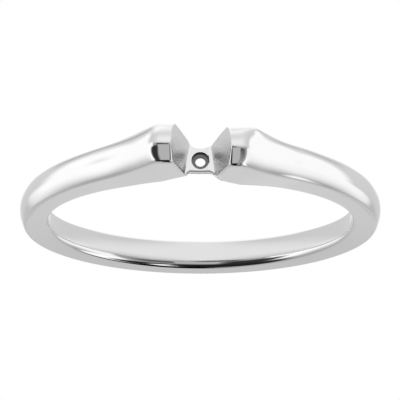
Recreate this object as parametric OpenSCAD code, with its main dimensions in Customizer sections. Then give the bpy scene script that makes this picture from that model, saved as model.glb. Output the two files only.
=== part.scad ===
// Ring mounting for a peg head: one casting of polished white gold, lying on its side.
// The finger axis is Z and the head points to -Y, so both side faces are level.
// The origin is the middle of the finger bore. Sizes are millimetres, angles degrees.

/* [Finger bore] */
// Inside radius of the band, for a 17.3 mm finger size
bore_r = 8.65; // [8.3:0.05:9]
// Radius of the rounded edge on each side of the bore
edge_round = 0.3; // [0.2:0.05:0.35]
// Width of the band at the rounded edges of the bore
bore_w = 1.46; // [1.3:0.02:1.6]

/* [Band] */
// Radius at which the side faces end and the domed outside starts
band_edge_r = 9.93; // [9.7:0.02:10.1]
// Width of the band where its dome starts
band_w = 1.95; // [1.8:0.01:2.05]
// Height of the dome on the band
band_dome = 0.29; // [0.2:0.01:0.5]

/* [Shoulders] */
// Height of the shoulders' side faces above the finger axis
shoulder_h = 13.15; // [12.6:0.05:13.4]
// Width across the shoulders where their dome starts
shoulder_w = 2.16; // [2:0.01:2.3]
// Width of the band at the foot of the ramps
foot_w = 1.78; // [1.6:0.01:1.95]
// Height of the dome on the shoulders' flat ends
shoulder_dome = 0.72; // [0.4:0.02:1]
// Distance from the middle to where the flat ends turn down into the ramps
flat_end = 2.2; // [2:0.05:2.8]
// Angle by which the ramp on +X starts nearer to the gap, and the one on -X farther from it
ramp_lean = 1.3; // [0:0.1:2]
// Sideways set of each shoulder's end, to opposite sides
shoulder_set = 0.09; // [0:0.01:0.15]

/* [Gap] */
// Distance from the middle at which the gap's end face on +X reaches the top of the shoulder
gap_top_left = 1.5; // [1.35:0.01:1.6]
// The same on -X
gap_top_right = 1.57; // [1.35:0.01:1.6]
// Radius of the hollowed floor of the gap
floor_r = 1.6; // [1.2:0.05:3]
// Distance from the middle at which the gap's end faces meet its floor, on the far edge
crease_x = 0.53; // [0.5:0.01:0.8]
// How much farther from the middle that crease is at the near edge, on +X
crease_out_left = 0.33; // [0:0.01:0.4]
// The same on -X
crease_out_right = 0.25; // [0:0.01:0.4]
// Height of the gap's lowest line above the finger axis
gap_floor = 10.47; // [10.4:0.01:10.6]

/* [Bridge and peg hole] */
// Half width of the bridge on its +Z side
waist_front = 0.61; // [0.58:0.01:0.65]
// Half width of the bridge on its -Z side
waist_back = 0.665; // [0.6:0.005:0.7]
// Height of the bridge's underside above the finger axis
arch_top = 9.96; // [9.9:0.01:10.1]
// Half width of the arch cut under the bridge at its top
arch_x = 0.83; // [0.7:0.01:0.95]
// Angle of the arch's flanks, measured from level
arch_slope = 46; // [40:1:60]
// Radius of the arch's upper corners
arch_round = 0.35; // [0.2:0.05:0.5]
// Radius of the peg hole's mouth
peg_r = 0.47; // [0.44:0.01:0.48]
// Depth of the mouth below the gap's lowest line
peg_depth = 0.24; // [0.2:0.01:0.28]
// Radius of the small hole on through the bridge
drill_r = 0.27; // [0.25:0.01:0.3]

/* [Hidden] */
eps = 0.02;
round_fn = 96;
dome_steps = 12;
core_r = 8.45;
core_w = 0.85;
round_steps = 4;
crown_h = shoulder_h + shoulder_dome;
flat_angle = atan(flat_end / shoulder_h);

// Columns: angle from the head, then shares of the edge's rise, of the change from the foot's width
// to the shoulders' width, of the change from the band's width to the foot's, and of the dome
ANGLE = 0;
RISE = 1;
WIDE = 2;
FOOT = 3;
DOME = 4;
stations = [
    [flat_angle, 1, 1, 1, 1],
    [14.2, 0.81, 0.8, 1, 0.92],
    [17.5, 0.642, 0.62, 1, 0.82],
    [21, 0.516, 0.47, 1, 0.7],
    [24.5, 0.432, 0.35, 1, 0.6],
    [28.2, 0.372, 0.25, 1, 0.52],
    [36.5, 0.264, 0.1, 1, 0.42],
    [46.4, 0.17, 0.02, 1, 0.35],
    [58, 0.084, 0, 1, 0.28],
    [75, 0.015, 0, 0.6, 0.1],
    [95, 0, 0, 0.12, 0],
    [115, 0, 0, 0, 0],
    [180, 0, 0, 0, 0]
];

// Slope of a column between two rows, and the smooth slope at a row
function chord(i, col) =
    (stations[i + 1][col] - stations[i][col]) / (stations[i + 1][ANGLE] - stations[i][ANGLE]);
function slope(i, col) =
    i <= 0 || i >= len(stations) - 1 ? 0 :
    let (a = chord(i - 1, col), b = chord(i, col))
    a * b <= 0 ? 0 : 2 * a * b / (a + b);

// Smooth value of a column at an angle, without overshoot
function row_at(angle, i = 0) =
    i >= len(stations) - 2 || angle < stations[i + 1][ANGLE] ? i : row_at(angle, i + 1);
function share(angle, col) =
    angle <= flat_angle ? stations[0][col] :
    let (
        i = row_at(angle),
        span = stations[i + 1][ANGLE] - stations[i][ANGLE],
        t = (angle - stations[i][ANGLE]) / span,
        t2 = t * t,
        t3 = t2 * t
    )
    (2 * t3 - 3 * t2 + 1) * stations[i][col] + (t3 - 2 * t2 + t) * span * slope(i, col)
    + (3 * t2 - 2 * t3) * stations[i + 1][col] + (t3 - t2) * span * slope(i + 1, col);

// Angle at which the ramp of one side starts, and the angle in the table for an angle on that side
lean_end = 26;
function ramp_start(side) = flat_angle - side * ramp_lean;
function table_angle(turn, side) =
    turn >= lean_end ? turn
    : turn + side * ramp_lean * (lean_end - turn) / (lean_end - ramp_start(side));

// Sizes of the section at an angle from the head: the flat end first, then the ramp and the band
function edge_radius(turn, side) =
    turn <= ramp_start(side) ? shoulder_h / cos(turn)
    : band_edge_r + (shoulder_h / cos(ramp_start(side)) - band_edge_r) * share(table_angle(turn, side), RISE);
function half_width(turn, side) =
    let (t = table_angle(turn, side))
    (band_w + (foot_w - band_w) * share(t, FOOT) + (shoulder_w - foot_w) * share(t, WIDE)) / 2;
function dome_height(turn, side) =
    turn <= ramp_start(side) ? shoulder_dome / cos(turn)
    : band_dome + (shoulder_dome / cos(ramp_start(side)) - band_dome) * share(table_angle(turn, side), DOME);
set_full = 10;
set_none = 30;
function side_set(angle) =
    let (t = min(1, max(0, (set_none - abs(angle)) / (set_none - set_full))))
    -sign(angle) * shoulder_set * t * t * (3 - 2 * t);

// Outline of the section: the core, one rounded edge and side face, the domed outside, and back
function edge_point(t, side) =
    [bore_r + edge_round * (1 - cos(t)), side * (bore_w / 2 - edge_round * (1 - sin(t)))];
function section(angle) =
    let (
        turn = abs(angle),
        r = edge_radius(turn, sign(angle)),
        w = half_width(turn, sign(angle)),
        dome = dome_height(turn, sign(angle)),
        dome_r = (w * w + dome * dome) / (2 * dome),
        spread = asin(w / dome_r),
        side_slope = atan((w - bore_w / 2) / (r - bore_r - edge_round)),
        edge_turn = 90 - side_slope
    )
    concat(
        [[core_r, core_w / 2]],
        [for (i = [1:round_steps]) edge_point(edge_turn * i / round_steps, 1)],
        [for (i = [0:dome_steps])
            let (t = spread * (1 - 2 * i / dome_steps))
            [r + dome - dome_r * (1 - cos(t)), dome_r * sin(t)]],
        [for (i = [round_steps:-1:1]) edge_point(edge_turn * i / round_steps, -1)],
        [[core_r, -core_w / 2]]
    );
function place(angle, p) = [p[0] * sin(angle), -p[0] * cos(angle), p[1] + side_set(angle)];

// Angles of the sections, close together where the shoulders change fast
close_step = 1;
mid_step = 2.5;
wide_step = 5;
close_end = 20;
mid_end = 50;
half_turn = concat(
    [for (a = [close_step:close_step:close_end]) a],
    [for (a = [close_end + mid_step:mid_step:mid_end]) a],
    [for (a = [mid_end + wide_step:wide_step:180]) a]
);
last = len(half_turn) - 1;
section_angles = concat(
    [0],
    half_turn,
    [for (i = [last - 1:-1:0]) -half_turn[i]]
);

// Closed ring through all the sections
module swept_body() {
    rings = [for (a = section_angles) [for (p = section(a)) place(a, p)]];
    n = len(rings);
    m = len(rings[0]);
    polyhedron(
        points = [for (ring = rings) each ring],
        faces = [for (i = [0:n - 1], j = [0:m - 1], half = [0, 1])
            let (
                a = i * m + j,
                b = i * m + (j + 1) % m,
                c = ((i + 1) % n) * m + (j + 1) % m,
                d = ((i + 1) % n) * m + j
            )
            half == 0 ? [a, c, b] : [a, d, c]],
        convexity = 6
    );
}

// Exact finger bore through the core that the sections leave
module finger_bore() {
    cylinder(r = bore_r, h = 2 * shoulder_w, center = true, $fn = round_fn);
}

// Cutter along the finger axis from a flat shape whose Y is the height above that axis
module across(w) {
    rotate([0, 0, 180])
        linear_extrude(height = w, center = true)
            children();
}

// Gap between the shoulders: sloping end faces that open toward the near edge, and a hollowed floor
cut_w = 6;
gap_roof = 17;
gap_steps = 8;
gap_far = -0.95;
gap_near = 0.35;
module gap_plan(out_left, out_right) {
    left = crease_x + out_left;
    right = crease_x + out_right;
    function floor_h(x) = gap_floor + x * x / (2 * floor_r);
    function roof_x(x, top) =
        x + (top - x) * (gap_roof - floor_h(x)) / (crown_h - floor_h(x));
    polygon(concat(
        [for (i = [0:gap_steps])
            let (x = left + (right + left) * -i / gap_steps)
            [-x, floor_h(x)]],
        [[roof_x(right, gap_top_right), gap_roof], [-roof_x(left, gap_top_left), gap_roof]]
    ));
}
module gap_slab(low, high, out_left, out_right) {
    translate([0, 0, (low + high) / 2])
        across(high - low)
            gap_plan(out_left, out_right);
}
module head_gap() {
    gap_slab(-cut_w / 2, gap_far, 0, 0);
    gap_slab(gap_near, cut_w / 2, crease_out_left, crease_out_right);
    hull() {
        gap_slab(gap_far - eps, gap_far, 0, 0);
        gap_slab(gap_near, gap_near + eps, crease_out_left, crease_out_right);
    }
}

// Cuts that narrow the bridge: plans of [X, distance from the middle plane, less the half width], the
// front one flaring to the shoulders at its foot and steeper at its top, the back one the same all the way
waist_foot = 9.4;
waist_roof = 11.3;
front_foot = [
    [-1.7, 0.79], [-1.2, 0.34], [-0.95, 0.18], [-0.79, 0.09], [-0.64, 0.03], [-0.5, 0],
    [0.6, 0], [0.7, 0.015], [0.76, 0.09], [0.8, 0.19], [0.83, 0.39], [0.86, 0.79]
];
front_roof = [
    [-0.8, 0.79], [-0.75, 0.47], [-0.7, 0.32], [-0.63, 0.19], [-0.55, 0.09], [-0.45, 0.02],
    [0.5, 0.01], [0.58, 0.05], [0.63, 0.13], [0.67, 0.25], [0.7, 0.44], [0.73, 0.79]
];
back_half = [[0.3, 0.02], [0.42, 0.08], [0.55, 0.19], [0.65, 0.32], [0.7, 0.42], [0.75, 0.735]];
module plan(h, side, half_w, points) {
    translate([0, -h, 0])
        rotate([90, 0, 0])
            linear_extrude(height = eps)
                polygon([for (p = points) [p[0], side * (half_w + p[1])]]);
}
module bridge_waist() {
    mirrored = [for (i = [len(back_half) - 1:-1:0]) [-back_half[i][0], back_half[i][1]]];
    back = concat(mirrored, [[0, 0]], back_half);
    hull() {
        plan(waist_foot, 1, waist_front, front_foot);
        plan(waist_roof, 1, waist_front, front_roof);
    }
    hull() {
        plan(waist_foot, -1, waist_back, back);
        plan(waist_roof, -1, waist_back, back);
    }
}

// Arch that relieves the inside of the band under the bridge, with rounded upper corners
arch_steps = 5;
arch_foot = 7.6;
module bridge_arch() {
    corner = arch_round * tan(arch_slope / 2);
    centre = [arch_x - corner, arch_top - arch_round];
    foot_x = arch_x + (arch_top - arch_foot) / tan(arch_slope);
    half = concat(
        [for (i = [0:arch_steps])
            let (t = arch_slope * i / arch_steps)
            [centre[0] + arch_round * sin(t), centre[1] + arch_round * cos(t)]],
        [[foot_x, arch_foot]]
    );
    across(cut_w)
        polygon(concat(
            half, [for (i = [len(half) - 1:-1:0]) [-half[i][0], half[i][1]]]
        ));
}

// Stepped hole for the peg of the stone's head
peg_clear = 0.7;
module peg_hole() {
    mouth_floor = gap_floor - peg_depth;
    translate([0, -mouth_floor, 0])
        rotate([90, 0, 0])
            cylinder(r = peg_r, h = peg_clear, $fn = round_fn);
    translate([0, -bore_r, 0])
        rotate([90, 0, 0])
            cylinder(r = drill_r, h = gap_floor - bore_r + peg_clear, $fn = round_fn);
}

module mounting() {
    color("gainsboro")
        difference() {
            swept_body();
            finger_bore();
            head_gap();
            bridge_waist();
            bridge_arch();
            peg_hole();
        }
}

mounting();
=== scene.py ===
"""Ring mounting for a peg head, in polished white gold, on a white table.

Metres. The finger axis is Z, the head points to -Y, and the origin is the middle of the finger bore.
"""

import functools
import math

import bmesh
import bpy
from mathutils import Matrix, Vector

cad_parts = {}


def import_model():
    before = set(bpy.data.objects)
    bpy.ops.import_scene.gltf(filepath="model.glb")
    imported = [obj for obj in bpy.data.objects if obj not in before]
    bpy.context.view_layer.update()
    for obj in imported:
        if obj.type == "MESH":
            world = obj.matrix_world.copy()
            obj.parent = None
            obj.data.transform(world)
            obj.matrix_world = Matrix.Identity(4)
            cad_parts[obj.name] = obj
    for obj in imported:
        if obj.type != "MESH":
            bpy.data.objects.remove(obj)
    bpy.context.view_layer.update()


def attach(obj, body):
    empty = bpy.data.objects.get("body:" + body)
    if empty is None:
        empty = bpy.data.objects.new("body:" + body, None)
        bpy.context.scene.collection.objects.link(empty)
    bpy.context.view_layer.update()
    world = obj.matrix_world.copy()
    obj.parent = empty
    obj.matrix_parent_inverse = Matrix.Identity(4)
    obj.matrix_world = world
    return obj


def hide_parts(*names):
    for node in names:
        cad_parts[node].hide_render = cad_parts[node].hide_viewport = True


MM = 0.001

# Sizes of the ring in millimetres, the same as the solid's
BORE_R = 8.65
EDGE_ROUND = 0.3
BORE_W = 1.46
BAND_EDGE_R = 9.93
BAND_W = 1.95
BAND_DOME = 0.29
SHOULDER_H = 13.15
SHOULDER_W = 2.16
FOOT_W = 1.78
SHOULDER_DOME = 0.72
FLAT_END = 2.2
SHOULDER_SET = 0.09
GAP_TOP = {1: 1.5, -1: 1.57}
GAP_FLOOR = 10.47
FLOOR_R = 1.6
CREASE_X = 0.53
CREASE_OUT = {1: 0.33, -1: 0.25}
WAIST_FRONT = 0.61
WAIST_BACK = 0.665
ARCH_TOP = 9.96
ARCH_X = 0.83
ARCH_SLOPE = math.radians(46)
PEG_R = 0.47
PEG_DEPTH = 0.24
DRILL_R = 0.27

FLAT_ANGLE = math.degrees(math.atan(FLAT_END / SHOULDER_H))
LEAN_END = 26
CROWN_H = SHOULDER_H + SHOULDER_DOME

# Angle from the head, then shares of the rise, of the shoulders' width, of the foot's width and of the dome
STATIONS = [
    (FLAT_ANGLE, 1, 1, 1, 1),
    (10.7, 0.995, 0.95, 1, 0.985),
    (11.7, 0.955, 0.905, 1, 0.965),
    (13.0, 0.879, 0.85, 1, 0.94),
    (14.2, 0.81, 0.8, 1, 0.92),
    (17.5, 0.642, 0.62, 1, 0.82),
    (21, 0.516, 0.47, 1, 0.7),
    (24.5, 0.432, 0.35, 1, 0.6),
    (28.2, 0.372, 0.25, 1, 0.52),
    (36.5, 0.264, 0.1, 1, 0.42),
    (46.4, 0.17, 0.02, 1, 0.35),
    (58, 0.084, 0, 1, 0.28),
    (75, 0.015, 0, 0.6, 0.1),
    (95, 0, 0, 0.12, 0),
    (115, 0, 0, 0, 0),
    (180, 0, 0, 0, 0),
]


def share(angle, column):
    """Smooth value of a column at an angle, without overshoot."""
    rows = STATIONS
    if angle <= rows[0][0]:
        return rows[0][column]
    i = max(k for k in range(len(rows) - 1) if rows[k][0] <= angle)

    def chord(k):
        return (rows[k + 1][column] - rows[k][column]) / (rows[k + 1][0] - rows[k][0])

    def slope(k):
        if k <= 0 or k >= len(rows) - 1:
            return 0
        a, b = chord(k - 1), chord(k)
        return 0 if a * b <= 0 else 2 * a * b / (a + b)

    span = rows[i + 1][0] - rows[i][0]
    t = (angle - rows[i][0]) / span
    return (
        (2 * t**3 - 3 * t**2 + 1) * rows[i][column]
        + (t**3 - 2 * t**2 + t) * span * slope(i)
        + (3 * t**2 - 2 * t**3) * rows[i + 1][column]
        + (t**3 - t**2) * span * slope(i + 1)
    )


# Angle at which the ramps start on the far edge and from the crown to the near edge, on +X and on -X
RAMP_START = {(1, False): 8.2, (-1, False): 10.8, (1, True): 8.8, (-1, True): 8.1}


def table_angle(angle, start):
    """Angle in the table of stations for an angle on a ramp that starts at an angle of its own."""
    if angle >= LEAN_END:
        return angle
    return angle + (FLAT_ANGLE - start) * (LEAN_END - angle) / (LEAN_END - start)


def edge_radius(angle, start):
    """Radius at which the side faces end, at an angle in degrees from the head."""
    if angle <= start:
        return SHOULDER_H / math.cos(math.radians(angle))
    full = SHOULDER_H / math.cos(math.radians(start))
    return BAND_EDGE_R + (full - BAND_EDGE_R) * share(table_angle(angle, start), 1)


def half_width(angle, start):
    """Half of the ring's width where its dome starts."""
    angle = table_angle(angle, start)
    foot = BAND_W + (FOOT_W - BAND_W) * share(angle, 3)
    return (foot + (SHOULDER_W - FOOT_W) * share(angle, 2)) / 2


def dome_height(angle, start):
    """Height of the domed outside above the side faces' edge."""
    if angle <= start:
        return SHOULDER_DOME / math.cos(math.radians(angle))
    full = SHOULDER_DOME / math.cos(math.radians(start))
    return BAND_DOME + (full - BAND_DOME) * share(table_angle(angle, start), 4)


# Rounding of the bore's edges: the angle from which it grows, how much it is less before that, and its growth
BACK_START, SIDE_LESS, BACK_GROWTH = 105, 0.03, 0.165


def edge_round(angle):
    """Radius of the bore's edges: larger at the back than at the sides."""
    t = min(1, max(0, (angle - BACK_START) / (180 - BACK_START)))
    return EDGE_ROUND - SIDE_LESS + BACK_GROWTH * t * (2 - t)


# Angles up to which a shoulder is set sideways in full, and from which it isn't
SET_FULL, SET_NONE = 10, 30


def side_set(angle, side):
    """Sideways set of a shoulder's end."""
    t = min(1, max(0, (SET_NONE - angle) / (SET_NONE - SET_FULL)))
    return -side * SHOULDER_SET * t * t * (3 - 2 * t)


# Cuts that narrow the bridge: distance from the middle and what it adds to the bridge's half width.
# The front cut is wider at its foot, 9.4 mm above the finger axis, than at its roof, at 11.3 mm.
WAIST_FOOT, WAIST_ROOF = 9.4, 11.3
FRONT_CUTS = {
    1: (
        [(0.6, 0), (0.7, 0.015), (0.76, 0.09), (0.8, 0.19), (0.83, 0.39), (0.86, 0.79)],
        [(0.5, 0.01), (0.58, 0.05), (0.63, 0.13), (0.67, 0.25), (0.7, 0.44), (0.73, 0.79)],
    ),
    -1: (
        [(0.5, 0), (0.64, 0.03), (0.79, 0.09), (0.95, 0.18), (1.2, 0.34), (1.7, 0.79)],
        [(0.45, 0.02), (0.55, 0.09), (0.63, 0.19), (0.7, 0.32), (0.75, 0.47), (0.8, 0.79)],
    ),
}
BACK_CUT = [(0, 0), (0.3, 0.02), (0.42, 0.08), (0.55, 0.19), (0.65, 0.32), (0.7, 0.42), (0.75, 0.735)]


def reach_of(cut, extra):
    """Distance from the middle to which a cut reaches at a width."""
    for (x0, e0), (x1, e1) in zip(cut, cut[1:]):
        if extra <= e1:
            return x0 + (x1 - x0) * max(0, extra - e0) / (e1 - e0)
    return cut[-1][0]


def waist_limit(x, h, front):
    """Half width that the cuts leave at a distance x from the middle and a height h."""
    foot, roof = FRONT_CUTS[1 if x > 0 else -1] if front else (BACK_CUT, BACK_CUT)
    t = min(1, max(0, (h - WAIST_FOOT) / (WAIST_ROOF - WAIST_FOOT)))
    low, high = 0.0, 0.78
    if abs(x) > reach_of(foot, high) * (1 - t) + reach_of(roof, high) * t:
        return 9.0
    for _ in range(14):
        extra = (low + high) / 2
        if reach_of(foot, extra) * (1 - t) + reach_of(roof, extra) * t < abs(x):
            low = extra
        else:
            high = extra
    return (WAIST_FRONT if front else WAIST_BACK) + low


def narrowed(x, h, a):
    """Sideways place of a point after the cuts."""
    return max(-waist_limit(x, h, False), min(waist_limit(x, h, True), a))


# Heights on a side face, from 0 at the rounded edge of the bore to 1 at the dome
BRIDGE_LOW, BRIDGE_HIGH = 0.254, 0.385
SIDE_LEVELS = [0.05, 0.12, 0.18, 0.225, BRIDGE_LOW, 0.275, 0.315, 0.36, BRIDGE_HIGH]
SIDE_LEVELS += [0.46, 0.56, 0.68, 0.8, 0.92]
ROUND_STEPS = 6
SOFT_STEPS = 4
DOME_STEPS = 14
SOFT_EDGE = 0.16

# Ground facet along the near side of each shoulder's end: where it starts beside the crown, its fall, and the
# angle over which it runs out past the ramp's start
FACET_A = 0.31
FACET_FALL = math.tan(math.radians(31))
FACET_RUN = 3.5


def facet_share(angle, side):
    """How far the dome is ground flat: fully at the shoulder's end, not at all past the ramp's start."""
    t = min(1, max(0, (RAMP_START[side, True] + FACET_RUN - angle) / FACET_RUN))
    return round(t * t * (3 - 2 * t), 4)


@functools.lru_cache(maxsize=None)
def half_section(angle, start, facet=0.0):
    """Half of the ring's section, from the middle of the bore to the crown, as (radius, height) points."""
    r, w, dome = edge_radius(angle, start), half_width(angle, start), dome_height(angle, start)
    dome_r = (w * w + dome * dome) / (2 * dome)
    spread = math.asin(w / dome_r)
    flat, soft_r = BORE_W / 2 - EDGE_ROUND, edge_round(angle)
    turn = math.pi / 2 - math.atan((w - flat - soft_r) / (r - BORE_R - soft_r))
    points = [(BORE_R, 0), (BORE_R, flat / 2), (BORE_R, flat)]
    for i in range(1, ROUND_STEPS + 1):
        t = turn * i / ROUND_STEPS
        points.append((BORE_R + soft_r * (1 - math.cos(t)), flat + soft_r * math.sin(t)))
    start = Vector(points[-1])
    edge = Vector((r, w))
    face = edge - start
    for level in SIDE_LEVELS:
        points.append(tuple(start + face * level))

    def on_dome(t):
        out, a = r + dome - dome_r * (1 - math.cos(t)), dome_r * math.sin(t)
        if a > FACET_A:
            ground = r + dome - FACET_A**2 / (2 * dome_r) - (a - FACET_A) * FACET_FALL
            out += facet * (ground - out)
        return Vector((out, a))

    soft = min(SOFT_EDGE, 0.3 * dome_r * spread)
    low = edge - face.normalized() * soft * 0.9
    high = on_dome(spread - soft / dome_r)
    for i in range(SOFT_STEPS + 1):
        t = i / SOFT_STEPS
        points.append(tuple(low * (1 - t) ** 2 + edge * 2 * t * (1 - t) + high * t**2))
    top = spread - soft / dome_r
    for i in range(1, DOME_STEPS + 1):
        points.append(tuple(on_dome(top * (1 - i / DOME_STEPS))))
    return points


HALF_ROWS = len(half_section(90, FLAT_ANGLE))
ROW_OF_LEVEL = {level: 3 + ROUND_STEPS + i for i, level in enumerate(SIDE_LEVELS)}


def section_point(row, angle, side):
    """Point of the whole section: rows run over the near half to the crown and back on the far half."""
    if row < HALF_ROWS:
        return half_section(angle, RAMP_START[side, True], facet_share(angle, side))[row]
    level = 2 * (HALF_ROWS - 1) - row
    r, a = half_section(angle, RAMP_START[side, True])[level]
    far_r, far_a = half_section(angle, RAMP_START[side, False])[level]
    t = min(1, (row - HALF_ROWS + 1) / (DOME_STEPS + 1))
    t = t * t * (3 - 2 * t)
    return r + (far_r - r) * t, -a - (far_a - a) * t


SECTION_ROWS = 2 * (HALF_ROWS - 1)

# End faces of a shoulder: the gap's slope above the bridge, the arch's flank below it
CREASE_H = GAP_FLOOR + CREASE_X**2 / (2 * FLOOR_R)
ROOT_LOW_X = 0.72
FLANK_IN = 0.08
# Sideways place from which the gap opens towards the near side, and over which it does
TWIST_START, TWIST_REACH = -0.95, 1.3


def end_x(h, side):
    """Distance from the middle at which a shoulder's end lies, at a height above the finger axis."""
    if h >= CREASE_H:
        return CREASE_X + (h - CREASE_H) * (GAP_TOP[side] - CREASE_X) / (CROWN_H - CREASE_H)
    if h >= ARCH_TOP:
        return ROOT_LOW_X + (CREASE_X - ROOT_LOW_X) * (h - ARCH_TOP) / (CREASE_H - ARCH_TOP)
    return max(ROOT_LOW_X, ARCH_X + (ARCH_TOP - h) / math.tan(ARCH_SLOPE) - FLANK_IN)


def twist(h, a, side):
    """How much wider the gap is at a place than at its far edge: most at the near end of its floor."""
    near = min(1, max(0, (a - TWIST_START) / TWIST_REACH))
    low = min(1, max(0, (CROWN_H - h) / (CROWN_H - CREASE_H)))
    foot = min(1, max(0, (h - ARCH_TOP) / (CREASE_H - ARCH_TOP)))
    return CREASE_OUT[side] * near * low * foot


LOW_ROW, HIGH_ROW = ROW_OF_LEVEL[BRIDGE_LOW], ROW_OF_LEVEL[BRIDGE_HIGH]
NEAR_ROUND, FAR_ROUND = 0.18, 0.035
END_STEPS = 4
# First guess of the angle at which a shoulder's end lies, and the rounds that refine it
END_GUESS, END_ROUNDS = 5.0, 12


def end_round(row):
    """Radius at which the rim of a shoulder's end is rounded: widest along the near side."""
    near = row < HALF_ROWS
    level = row if near else SECTION_ROWS - row
    if LOW_ROW <= level <= HIGH_ROW:
        return 0
    if level < LOW_ROW or not near:
        return FAR_ROUND
    foot = min(1, (level - HIGH_ROW) / 2)
    a = section_point(row, END_GUESS, 1)[1]
    crown = min(1, a / (SHOULDER_W / 2))
    return foot * (FAR_ROUND + (NEAR_ROUND - FAR_ROUND) * crown**0.7)


def inset_point(row, angle, side, inset):
    """Point of a row moved square off the section's outline, inwards."""
    r, a = section_point(row, angle, side)
    if not inset:
        return r, a
    before = Vector(section_point((row - 1) % SECTION_ROWS, angle, side))
    after = Vector(section_point((row + 1) % SECTION_ROWS, angle, side))
    along = (after - before).normalized()
    return r + along.y * inset, a - along.x * inset


def end_point(row, step, side):
    """Angle, radius and height of a row's point on the rounded rim of the shoulder's end."""
    size = end_round(row)
    turn = math.pi / 2 * step / END_STEPS
    inset = size * (1 - math.sin(turn))
    back = size * (1 - math.cos(turn)) if size else 0.05 * step / END_STEPS
    angle = END_GUESS
    for _ in range(END_ROUNDS):
        r, a = inset_point(row, angle, side, inset)
        h = r * math.cos(math.radians(angle))
        x = end_x(h, side) + twist(h, a, side) + back
        angle = math.degrees(math.asin(min(0.99, x / r)))
    return angle, r, a


HEAD_STEPS = 16
HEAD_ANGLE = 19.0
STEP_ANGLES = [HEAD_ANGLE + 1.5 * i for i in range(1, 15)] + [40 + 2.5 * i for i in range(1, 57)]
LAST_STEP = HEAD_STEPS + len(STEP_ANGLES)


def shoulder_half(bm, row_layer, side):
    """One half of the ring, spun from the shoulder's end to the back of the band: gives its end's points."""
    loop = []
    for row in range(SECTION_ROWS):
        r, a = section_point(row, 90, side)
        v = bm.verts.new((0, -r * MM, a * MM))
        v[row_layer] = row
        loop.append(v)
    edges = [bm.edges.new((loop[i], loop[(i + 1) % SECTION_ROWS])) for i in range(SECTION_ROWS)]
    old = set(bm.verts) - set(loop)
    bmesh.ops.spin(
        bm,
        geom=loop + edges,
        cent=(0, 0, 0),
        axis=(0, 0, 1),
        angle=side * math.pi,
        steps=LAST_STEP,
        use_merge=False,
    )
    rim = [
        [end_point(row, step, side) for step in range(END_STEPS + 1)] for row in range(SECTION_ROWS)
    ]
    end = {}
    for v in bm.verts:
        if v in old:
            continue
        row = v[row_layer]
        turn = math.atan2(abs(v.co.x), -v.co.y)
        step = round(turn / math.pi * LAST_STEP)
        if step == 0:
            end[row] = v
        if step <= END_STEPS:
            angle, r, a = rim[row][step]
        else:
            if step <= HEAD_STEPS:
                t = ((step - END_STEPS) / (HEAD_STEPS - END_STEPS)) ** 1.5
                angle = rim[row][-1][0] * (1 - t) + HEAD_ANGLE * t
            else:
                angle = STEP_ANGLES[step - HEAD_STEPS - 1]
            r, a = section_point(row, angle, side)
        a += side_set(angle, side)
        turn = math.radians(angle)
        x, h = side * r * math.sin(turn), r * math.cos(turn)
        if angle < HEAD_ANGLE:
            a = narrowed(x, h, a)
        v.co = Vector((x, -h, a)) * MM
    return end


COLUMNS = [0, 0.08, 0.2, 0.35, 0.5, 0.65, 0.8, 0.92, 1]
BRIDGE_STEPS = 24
RIM_COLUMNS = (
    COLUMNS + [1] * (HIGH_ROW - LOW_ROW - 1) + COLUMNS[::-1] + [0] * (HIGH_ROW - LOW_ROW - 1)
)


def close_shoulder_end(bm, end, rim_layer):
    """Faces of the shoulder's end: the arch's flank below the bridge and the sloping face above it."""
    far = SECTION_ROWS

    def across(row):
        """Points of a level line across the end, from the near side to the far side."""
        line = [end[row], end[far - row]]
        edge = bm.edges.new(line)
        for a, b in zip(COLUMNS, COLUMNS[1:-1]):
            edge, v = bmesh.utils.edge_split(edge, line[-2], (b - a) / (1 - a))
            line.insert(-1, v)
            edge = bm.edges.get((v, line[-1]))
        return line

    foot = LOW_ROW - 1
    foot_line, low_line, high_line = across(foot), across(LOW_ROW), across(HIGH_ROW)
    bore_side = [end[far - i] for i in range(foot - 1, 0, -1)] + [end[i] for i in range(0, foot)]
    bm.faces.new(bore_side + foot_line)
    for a, b in zip(zip(foot_line, low_line), zip(foot_line[1:], low_line[1:])):
        bm.faces.new((a[0], a[1], b[1], b[0]))
    top_side = [end[i] for i in range(HIGH_ROW + 1, far - HIGH_ROW)]
    bm.faces.new(top_side + high_line[::-1])
    far_side = [end[far - i] for i in range(LOW_ROW + 1, HIGH_ROW)]
    near_side = [end[i] for i in range(HIGH_ROW - 1, LOW_ROW, -1)]
    for i, v in enumerate(low_line + far_side + high_line[::-1] + near_side):
        v[rim_layer] = i + 1


def on_bridge(ends, column, t):
    """Point of the bridge on the way from its right end, t = 0, to its left end, t = 1."""
    (x0, h0, front0, back0), (x1, h1, front1, back1) = ends
    x = x0 + (x1 - x0) * t
    reach = min(1, abs(x / (x0 if x > 0 else x1)))
    root_h = h0 + (h1 - h0) * t
    lift = (root_h - ARCH_TOP) / (CREASE_H - ARCH_TOP)
    if column in (0, 1) and not 0.05 < lift < 0.95:
        column += 0.03 * (1 - reach**4) * (1 if column == 0 else -1)
        lift += 0.06 * (1 - reach**4) * (1 if lift < 0.5 else -1)
    top = min(GAP_FLOOR + x * x / (2 * FLOOR_R), root_h if lift > 0.9 else 99)
    h = ARCH_TOP + lift * (top - ARCH_TOP)
    front = min(front0 + (front1 - front0) * t, waist_limit(x, h, True))
    back = min(back0 + (back1 - back0) * t, waist_limit(x, h, False))
    return x, h, front - column * (front + back)


def level_line(i):
    """Numbers of the near and the far rim point at the level of a rim point."""
    wide, tall = len(COLUMNS), HIGH_ROW - LOW_ROW - 1
    if i < wide:
        return 0, wide - 1
    if i < wide + tall:
        return 2 * wide + 2 * tall - 1 - (i - wide), i
    if i < 2 * wide + tall:
        return 2 * wide + tall - 1, wide + tall
    return i, wide + tall - 1 - (i - 2 * wide - tall)


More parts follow.
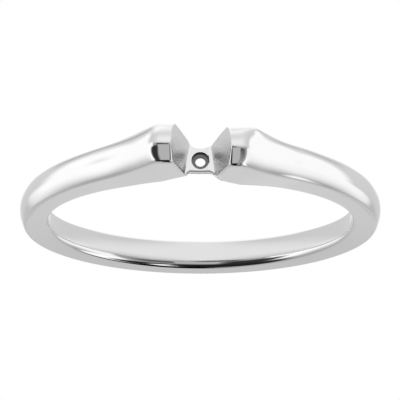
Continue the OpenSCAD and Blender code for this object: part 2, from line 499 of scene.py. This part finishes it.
def bridge(bm, rim_layer):
    """The bridge between the shoulders: hollowed on top, narrow in the middle, thin and level below."""
    right = {v[rim_layer] - 1: v for v in bm.verts if v[rim_layer] and v.co.x > 0}
    left = {v[rim_layer] - 1: v for v in bm.verts if v[rim_layer] and v.co.x < 0}
    ends = {}
    for i in right:
        pair = []
        for found in (right, left):
            # the near and the far point of the line across the end that this point is on
            line = [found[k] for k in level_line(i)]
            pair.append((found[i].co.x / MM, -found[i].co.y / MM, line[0].co.z / MM, -line[1].co.z / MM))
        ends[i] = pair
    rim = set(right.values())
    edges = [e for e in bm.edges if e.is_boundary and e.verts[0] in rim and e.verts[1] in rim]
    for step in range(1, BRIDGE_STEPS + 1):
        made = bmesh.ops.extrude_edge_only(bm, edges=edges)["geom"]
        rim = {g for g in made if isinstance(g, bmesh.types.BMVert)}
        edges = [
            g
            for g in made
            if isinstance(g, bmesh.types.BMEdge) and g.verts[0] in rim and g.verts[1] in rim
        ]
        for v in rim:
            number = v[rim_layer] - 1
            t = (1 - math.cos(math.pi * step / BRIDGE_STEPS)) / 2
            x, h, a = on_bridge(ends[number], RIM_COLUMNS[number], t)
            v.co = Vector((x, -h, a)) * MM
    bmesh.ops.weld_verts(bm, targetmap={v: left[v[rim_layer] - 1] for v in rim})
    bmesh.ops.recalc_face_normals(bm, faces=bm.faces)


def turned_cylinder(bm, radius, low, high, sides):
    """A cylinder on the peg hole's axis, between two heights above the finger axis."""
    made = bmesh.ops.create_cone(
        bm,
        cap_ends=True,
        segments=sides,
        radius1=radius * MM,
        radius2=radius * MM,
        depth=(high - low) * MM,
    )
    turn = Matrix.Rotation(math.pi / 2, 4, "X")
    bmesh.ops.transform(
        bm, matrix=Matrix.Translation((0, -(low + high) / 2 * MM, 0)) @ turn, verts=made["verts"]
    )


HOLE_SIDES = 64


def peg_hole(body):
    """Cuts the stepped hole for the head's peg through the bridge."""
    for radius, low, high in (
        (PEG_R, GAP_FLOOR - PEG_DEPTH, CROWN_H),
        (DRILL_R, BORE_R, CROWN_H),
    ):
        bm = bmesh.new()
        turned_cylinder(bm, radius, low, high, HOLE_SIDES)
        mesh = bpy.data.meshes.new("drill")
        bm.to_mesh(mesh)
        bm.free()
        drill = bpy.data.objects.new("drill", mesh)
        bpy.context.scene.collection.objects.link(drill)
        cut = body.modifiers.new("hole", "BOOLEAN")
        cut.operation = "DIFFERENCE"
        cut.solver = "EXACT"
        cut.object = drill
        bpy.context.view_layer.update()
        graph = bpy.context.evaluated_depsgraph_get()
        holed = bpy.data.meshes.new_from_object(body.evaluated_get(graph))
        body.modifiers.clear()
        old = body.data
        body.data = holed
        bpy.data.meshes.remove(old)
        bpy.data.objects.remove(drill)
        bpy.data.meshes.remove(mesh)


def shade_smooth(mesh):
    """Smooth faces, with the crisp edges of the peg hole kept sharp."""
    bm = bmesh.new()
    bm.from_mesh(mesh)
    for f in bm.faces:
        f.smooth = True
    for e in bm.edges:
        e.smooth = len(e.link_faces) != 2 or math.degrees(e.calc_face_angle(0)) < 50
    bm.to_mesh(mesh)
    bm.free()


def mark_finishes(mesh):
    """Face attributes of the finishes: satin on the gap's end faces, and as left by the drill in the peg hole,
    where the colour is also painted dark as a dark reflection.
    """
    satin = mesh.attributes.new("satin", "FLOAT", "FACE")
    drilled_and_painted_dark = mesh.attributes.new("drilled_and_painted_dark", "FLOAT", "FACE")
    for f in mesh.polygons:
        x, y, z = f.center / MM
        satin.data[f.index].value = float(abs(f.normal.x) > 0.85 and abs(x) < 1.7 and y < -CREASE_H + 0.02)
        # Peg hole: rougher finish, and colour painted near black as a dark reflection, a little less on its
        # floor
        if math.hypot(x, z) < PEG_R + 0.002 and y < -ARCH_TOP + 0.3:
            drilled_and_painted_dark.data[f.index].value = 0.85 if abs(f.normal.y) > 0.9 else 1.0
    mark_painted_dark_line(mesh, satin)


def mark_painted_dark_line(mesh, satin):
    """Point attribute along the near edge of the gap and its floor, a dark line in the photograph: it marks
    where a dark reflection is painted into the metal's colour.
    """
    painted_dark_line = mesh.attributes.new("painted_dark_line", "FLOAT", "POINT")
    kinds = {}
    for f in mesh.polygons:
        in_floor = f.normal.y < -0.97 and abs(f.center.x) < 0.9 * MM
        kind = "gap" if satin.data[f.index].value > 0.5 else "floor" if in_floor else ""
        for i in f.vertices:
            kinds.setdefault(i, set()).add(kind or ("near" if f.normal.z > 0.15 else "other"))
    for i, kind in kinds.items():
        x, y, z = mesh.vertices[i].co / MM
        if z < 0.3 or "near" not in kind or y > -GAP_FLOOR + 0.1 or math.hypot(x, z) < PEG_R + 0.05:
            continue
        # Painted dark reflection: full along the floor's near edge, fading a little up the gap's near edge
        if "gap" in kind:
            painted_dark_line.data[i].value = 1 - 0.3 * min(1, max(0, (-y - 11.2) / 1.2))
        elif "floor" in kind and abs(x) < 1:
            painted_dark_line.data[i].value = 1.0


def mounting():
    """The whole ring: two shoulder halves joined at the back and by the bridge."""
    bm = bmesh.new()
    row_layer = bm.verts.layers.int.new("row")
    rim_layer = bm.verts.layers.int.new("rim")
    for side in (1, -1):
        end = shoulder_half(bm, row_layer, side)
        close_shoulder_end(bm, end, rim_layer)
    back = [v for v in bm.verts if v.co.y > 0 and abs(v.co.x) < 0.001 * MM]
    bmesh.ops.remove_doubles(bm, verts=back, dist=0.002 * MM)
    bridge(bm, rim_layer)
    mesh = bpy.data.meshes.new("mounting_body")
    bm.to_mesh(mesh)
    bm.free()
    body = bpy.data.objects.new("mounting_body", mesh)
    bpy.context.scene.collection.objects.link(body)
    peg_hole(body)
    shade_smooth(body.data)
    mark_finishes(body.data)
    even = body.modifiers.new("even shading", "WEIGHTED_NORMAL")
    even.keep_sharp = True
    return body


# Roughness of the buffed metal, of the gap's end faces and of the peg hole, and greys of the plated metal, of
# the line along the gap's near edge and of the peg hole. The last two greys are painted dark reflections.
BUFFED, SATIN, DRILLED = (0.035, 0.075), (0.3, 0.4), 0.35
PLATED_LOW, PLATED_HIGH, PAINTED_DARK_LINE_GREY, PAINTED_HOLE_GREY = 0.81, 0.83, 0.05, 0.06
BUFFED_SCALE, SATIN_SCALE, PLATED_SCALE = 420, 3000, 260
MARKS_SCALE = (9000, 9000, 500)
MARKS_DEPTH, MARKS_STRENGTH = 0.002 * MM, 0.25


def grey(value):
    return value, value, value, 1


def white_gold():
    """Polished white gold: faint polishing marks, a satin gap, and painted dark reflections in the peg hole and
    along the gap's edge.
    """
    m = bpy.data.materials.new("white_gold")
    m.use_nodes = True
    nodes, links = m.node_tree.nodes, m.node_tree.links
    shader = nodes["Principled BSDF"]
    shader.inputs["Metallic"].default_value = 1
    place = nodes.new("ShaderNodeTexCoord").outputs["Object"]

    def finish(name):
        node = nodes.new("ShaderNodeAttribute")
        node.attribute_name = name
        return node.outputs["Fac"]

    def blend(kind, by, first, second):
        node = nodes.new("ShaderNodeMix")
        node.data_type = kind
        links.new(by, node.inputs[0])
        taken = [i for i in node.inputs if i.enabled and i.name in ("A", "B")]
        for socket, value in zip(taken, (first, second)):
            if isinstance(value, bpy.types.NodeSocket):
                links.new(value, socket)
            else:
                socket.default_value = value
        return next(o for o in node.outputs if o.enabled)

    def noise(scale, detail):
        node = nodes.new("ShaderNodeTexNoise")
        node.inputs["Scale"].default_value = scale
        node.inputs["Detail"].default_value = detail
        links.new(place, node.inputs["Vector"])
        return node.outputs["Fac"]

    def ranged(value, low, high):
        node = nodes.new("ShaderNodeMapRange")
        links.new(value, node.inputs["Value"])
        node.inputs["From Min"].default_value = 0.3
        node.inputs["From Max"].default_value = 0.7
        node.inputs["To Min"].default_value = low
        node.inputs["To Max"].default_value = high
        return node.outputs["Result"]

    satin, drilled_and_painted_dark = finish("satin"), finish("drilled_and_painted_dark")
    buffed = ranged(noise(BUFFED_SCALE, 3), *BUFFED)
    roughness = blend("FLOAT", satin, buffed, ranged(noise(SATIN_SCALE, 2), *SATIN))
    links.new(blend("FLOAT", drilled_and_painted_dark, roughness, DRILLED), shader.inputs["Roughness"])
    plated = blend("RGBA", ranged(noise(PLATED_SCALE, 2), 0, 1), grey(PLATED_LOW), grey(PLATED_HIGH))
    # Painted dark reflection: near black along the gap's near edge and its floor
    plated = blend("RGBA", finish("painted_dark_line"), plated, grey(PAINTED_DARK_LINE_GREY))
    # Peg hole painted near black: a painted dark reflection
    links.new(blend("RGBA", drilled_and_painted_dark, plated, grey(PAINTED_HOLE_GREY)), shader.inputs["Base Color"])

    grain = nodes.new("ShaderNodeMapping")
    grain.inputs["Scale"].default_value = MARKS_SCALE
    links.new(place, grain.inputs["Vector"])
    marks = nodes.new("ShaderNodeTexNoise")
    marks.inputs["Scale"].default_value = 1
    marks.inputs["Detail"].default_value = 2
    links.new(grain.outputs[0], marks.inputs["Vector"])
    bump = nodes.new("ShaderNodeBump")
    bump.inputs["Distance"].default_value = MARKS_DEPTH
    bump.inputs["Strength"].default_value = MARKS_STRENGTH
    links.new(marks.outputs["Fac"], bump.inputs["Height"])
    links.new(bump.outputs[0], shader.inputs["Normal"])
    return m


# Camera: angle above the ring's plane in degrees, then millimetres: distance, shift up and shift sideways in the
# picture, and focal length
CAMERA_TILT, CAMERA_DISTANCE, CAMERA_UP, CAMERA_LEFT, LENS = 16.12, 130, 0.827, 0.019, 205.35


def camera():
    """The photograph's camera, above the side that the ring lies on and turned upside down."""
    tilt = math.radians(CAMERA_TILT)
    back = Vector((0, -math.cos(tilt), math.sin(tilt)))
    up = Vector((0, -math.sin(tilt), -math.cos(tilt)))
    right = up.cross(back)
    place = back * CAMERA_DISTANCE * MM + up * CAMERA_UP * MM - right * CAMERA_LEFT * MM
    data = bpy.data.cameras.new("camera")
    data.lens = LENS
    data.sensor_width = 36
    data.clip_start, data.clip_end = 0.005, 10
    cam = bpy.data.objects.new("camera", data)
    cam.matrix_world = Matrix.Translation(place) @ Matrix((right, up, back)).transposed().to_4x4()
    bpy.context.scene.collection.objects.link(cam)
    bpy.context.scene.camera = cam


# Table in the finger hollow as the metal mirrors it, a grey glow of painted shade: strength in the middle and
# outside, and that distance
POOL_LIGHT, POOL_DARK, POOL_REACH = 0.92, 0.72, 4 * MM
HOLLOW_R = (BORE_R + 0.2) * MM


def table():
    """Table that the ring lies on: plain white to the camera, let through by reflections but in the hollow,
    where it glows grey as painted shade.
    """
    bm = bmesh.new()
    bmesh.ops.create_grid(bm, x_segments=1, y_segments=1, size=1.0)
    low = -SHOULDER_W / 2 - SHOULDER_SET
    bmesh.ops.translate(bm, verts=bm.verts, vec=(0, 0, low * MM))
    mesh = bpy.data.meshes.new("table")
    bm.to_mesh(mesh)
    bm.free()
    top = bpy.data.objects.new("table", mesh)
    bpy.context.scene.collection.objects.link(top)
    m = bpy.data.materials.new("table")
    m.use_nodes = True
    nodes, links = m.node_tree.nodes, m.node_tree.links
    nodes.clear()
    out = nodes.new("ShaderNodeOutputMaterial")
    white, shaded = nodes.new("ShaderNodeEmission"), nodes.new("ShaderNodeEmission")
    white.inputs["Color"].default_value = (1, 1, 1, 1)
    open_sky = nodes.new("ShaderNodeBsdfTransparent")
    place = nodes.new("ShaderNodeTexCoord").outputs["Object"]
    reach = nodes.new("ShaderNodeVectorMath")
    reach.operation = "LENGTH"
    links.new(place, reach.inputs[0])
    hollow = nodes.new("ShaderNodeMath")
    hollow.operation = "LESS_THAN"
    links.new(reach.outputs["Value"], hollow.inputs[0])
    hollow.inputs[1].default_value = HOLLOW_R
    split = nodes.new("ShaderNodeSeparateXYZ")
    links.new(place, split.inputs[0])
    middle = nodes.new("ShaderNodeMath")
    middle.operation = "ABSOLUTE"
    links.new(split.outputs[0], middle.inputs[0])
    # Painted shade in the hollow: brightest along the middle, darker towards the sides
    pool = nodes.new("ShaderNodeMapRange")
    pool.interpolation_type = "SMOOTHSTEP"
    links.new(middle.outputs[0], pool.inputs["Value"])
    pool.inputs["From Min"].default_value = 0
    pool.inputs["From Max"].default_value = POOL_REACH
    pool.inputs["To Min"].default_value = POOL_LIGHT
    pool.inputs["To Max"].default_value = POOL_DARK
    links.new(pool.outputs["Result"], shaded.inputs["Strength"])
    seen = nodes.new("ShaderNodeLightPath")
    under = nodes.new("ShaderNodeMixShader")
    links.new(hollow.outputs[0], under.inputs[0])
    links.new(open_sky.outputs[0], under.inputs[1])
    links.new(shaded.outputs[0], under.inputs[2])
    mix = nodes.new("ShaderNodeMixShader")
    links.new(seen.outputs["Is Camera Ray"], mix.inputs[0])
    links.new(under.outputs[0], mix.inputs[1])
    links.new(white.outputs[0], mix.inputs[2])
    links.new(mix.outputs[0], out.inputs["Surface"])
    mesh.materials.append(m)
    top.visible_diffuse = False
    top.visible_shadow = False


# Soft cards round the ring: azimuth from the head in degrees, positive to the photograph's right, height
# above the ring's plane, half width, half height, softness, and the grey that the metal shows, laid over
# each other in this order. Most were fitted to how bright the photograph's metal is by the direction that it
# mirrors, and the rest were set one by one.
CARDS = [
    (-6, -85, 181, 22, 25, 0.948),
    (-114, -73, 63, 9, 20, 0.996),
    (167, -58, 46, 11, 2, 0.947),
    (9, -19, 39, 22, 25, 0.92),
    (-98, 21, 44, 29, 5, 1.0),
    (-104, -14, 18, 31, 11, 0.99),
    (-165, 45, 62, 18, 24, 0.637),
    (105, 25, 35, 27, 5, 0.96),
    (98, -15, 16, 25, 7, 0.98),
    (130, 40, 22, 6, 24, 0.424),
    (126, 50, 44, 8, 3, 1.0),
    (-46, 42, 25, 22, 9, 0.19),
    (-99, 71, 68, 11, 2, 0.248),
    (30, 29, 24, 13, 10, 0.338),
    (107, 70, 47, 5, 4, 0.264),
    (-14, 8, 16, 4, 8, 0.1),
    (0, 76, 181, 18, 5, 0.13),
    (102, 75, 52, 3.5, 2, 1.0),
    (171, 11, 30, 30, 21, 0.764),
    (3, 31.5, 19, 15.5, 1.5, 0.69),
    (-150, 8.5, 14, 19, 21, 0.758),
    (180, -29, 11, 26, 14, 0.977),
    (171, 64, 11, 26, 1.5, 0.01),
    (-143, -42, 5, 7, 4, 0.66),
    (135, -43, 5, 7, 4, 0.68),
]
# Greys of the tent below and above the ring, and the heights between which they blend
TABLE_GREY, ROOM_GREY = 0.804, 0.601
BLEND_LOW, BLEND_HIGH = -8, 4
# Share of the light that the metal gives back, and the curve from a grey on screen to light
METAL = 0.82
SCREEN_OFFSET, SCREEN_POWER = 0.055, 2.4


def math_maker(nodes, links):
    """Gives a function that makes a math node from its operation and its inputs."""

    def math_node(kind, *values):
        node = nodes.new("ShaderNodeMath")
        node.operation = kind
        for i, value in enumerate(values):
            if isinstance(value, (int, float)):
                node.inputs[i].default_value = value
            else:
                links.new(value, node.inputs[i])
        return node.outputs[0]

    return math_node


def soft_card_group():
    """Node group that lays one soft-edged card over the light that comes in."""
    group = bpy.data.node_groups.new("soft card", "ShaderNodeTree")
    nodes, links = group.nodes, group.links
    names = ["Light", "Azimuth", "Height", "Card Azimuth", "Card Height"]
    names += ["Half Width", "Half Height", "Softness", "Card Light"]
    for name in names:
        group.interface.new_socket(name, in_out="INPUT", socket_type="NodeSocketFloat")
    group.interface.new_socket("Light", in_out="OUTPUT", socket_type="NodeSocketFloat")
    inp, out = nodes.new("NodeGroupInput"), nodes.new("NodeGroupOutput")
    math_node = math_maker(nodes, links)

    def soft_edge(distance, half):
        soft = inp.outputs["Softness"]
        edge = nodes.new("ShaderNodeMapRange")
        edge.interpolation_type = "SMOOTHSTEP"
        links.new(distance, edge.inputs["Value"])
        links.new(math_node("ADD", half, soft), edge.inputs["From Min"])
        links.new(math_node("SUBTRACT", half, soft), edge.inputs["From Max"])
        return edge.outputs["Result"]

    turn = math_node("SUBTRACT", inp.outputs["Azimuth"], inp.outputs["Card Azimuth"])
    turn = math_node("ABSOLUTE", math_node("WRAP", turn, -180.0, 180.0))
    rise = math_node("SUBTRACT", inp.outputs["Height"], inp.outputs["Card Height"])
    rise = math_node("ABSOLUTE", rise)
    wide = soft_edge(turn, inp.outputs["Half Width"])
    high = soft_edge(rise, inp.outputs["Half Height"])
    mask = math_node("MULTIPLY", wide, high)
    step = math_node("SUBTRACT", inp.outputs["Card Light"], inp.outputs["Light"])
    links.new(math_node("MULTIPLY_ADD", step, mask, inp.outputs["Light"]), out.inputs["Light"])
    return group


def studio():
    """Soft studio light: a pale tent with soft bright cards at the sides and dark gaps between them."""
    world = bpy.data.worlds.new("studio")
    bpy.context.scene.world = world
    world.use_nodes = True
    nodes, links = world.node_tree.nodes, world.node_tree.links
    math_node = math_maker(nodes, links)
    where = nodes.new("ShaderNodeTexCoord")
    split = nodes.new("ShaderNodeSeparateXYZ")
    links.new(where.outputs["Generated"], split.inputs[0])
    left, back, up = split.outputs
    azimuth = math_node("ARCTAN2", math_node("MULTIPLY", left, -1.0), math_node("MULTIPLY", back, -1.0))
    azimuth = math_node("DEGREES", azimuth)
    height = math_node("DEGREES", math_node("ARCSINE", up))
    base = nodes.new("ShaderNodeMapRange")
    base.interpolation_type = "SMOOTHSTEP"
    links.new(height, base.inputs["Value"])
    base.inputs["From Min"].default_value = BLEND_LOW
    base.inputs["From Max"].default_value = BLEND_HIGH
    base.inputs["To Min"].default_value = TABLE_GREY
    base.inputs["To Max"].default_value = ROOM_GREY
    light = base.outputs["Result"]
    group = soft_card_group()
    for card in CARDS:
        node = nodes.new("ShaderNodeGroup")
        node.node_tree = group
        links.new(light, node.inputs["Light"])
        links.new(azimuth, node.inputs["Azimuth"])
        links.new(height, node.inputs["Height"])
        names = ("Card Azimuth", "Card Height", "Half Width", "Half Height", "Softness", "Card Light")
        for name, value in zip(names, card):
            node.inputs[name].default_value = value
        light = node.outputs["Light"]
    screen_span = 1 + SCREEN_OFFSET
    light = math_node("MULTIPLY_ADD", light, 1 / screen_span, SCREEN_OFFSET / screen_span)
    light = math_node("POWER", light, SCREEN_POWER)
    background = nodes["Background"]
    background.inputs["Color"].default_value = (1, 1, 1, 1)
    light = math_node("MULTIPLY", light, 1 / METAL)
    seen = nodes.new("ShaderNodeLightPath").outputs["Is Camera Ray"]
    links.new(math_node("MAXIMUM", light, seen), background.inputs["Strength"])


def main():
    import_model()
    bpy.context.scene.view_settings.view_transform = "Standard"
    ring = mounting()
    ring.data.materials.clear()
    ring.data.materials.append(white_gold())
    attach(ring, "root")
    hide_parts("mounting")
    camera()
    table()
    studio()


main()
